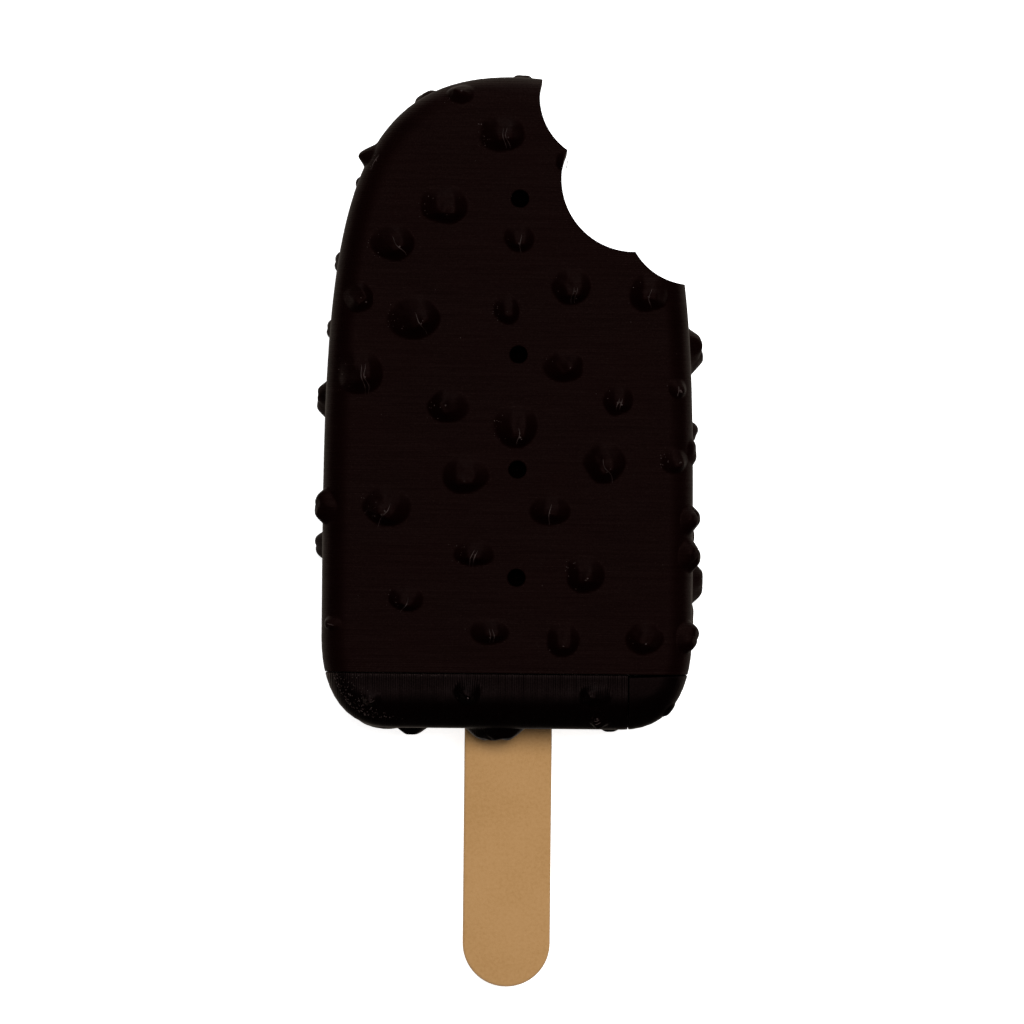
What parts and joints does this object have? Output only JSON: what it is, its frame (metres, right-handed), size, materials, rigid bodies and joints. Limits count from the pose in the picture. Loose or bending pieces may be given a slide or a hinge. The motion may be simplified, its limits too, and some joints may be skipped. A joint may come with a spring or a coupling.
{
  "type": "plastic ice cream bar model",
  "caption": "Model of a nutty chocolate ice cream bar on a flat stick, with a bite out of its top corner, a split bottom cap and a row of small holes down the front.",
  "frame": {"origin": "middle of the model's base, where the nuts of its back rest", "axes": "+X across the bar to the bitten side, +Y along the bar from the stick to the rounded top, +Z from the back to the front face"},
  "size_m": [0.0472, 0.1096, 0.0254],
  "materials": {
    "shell_plastic": "satin dark brown with fine print lines",
    "cap_plastic": "satin dark brown with fine upright print lines",
    "stick_plastic": "matt tan with fine speckle"
  },
  "bodies": {
    "root": {"shell": "shell_plastic", "end_cap": "cap_plastic", "cap_corner": "cap_plastic", "stick": "stick_plastic"}
  },
  "joints": []
}
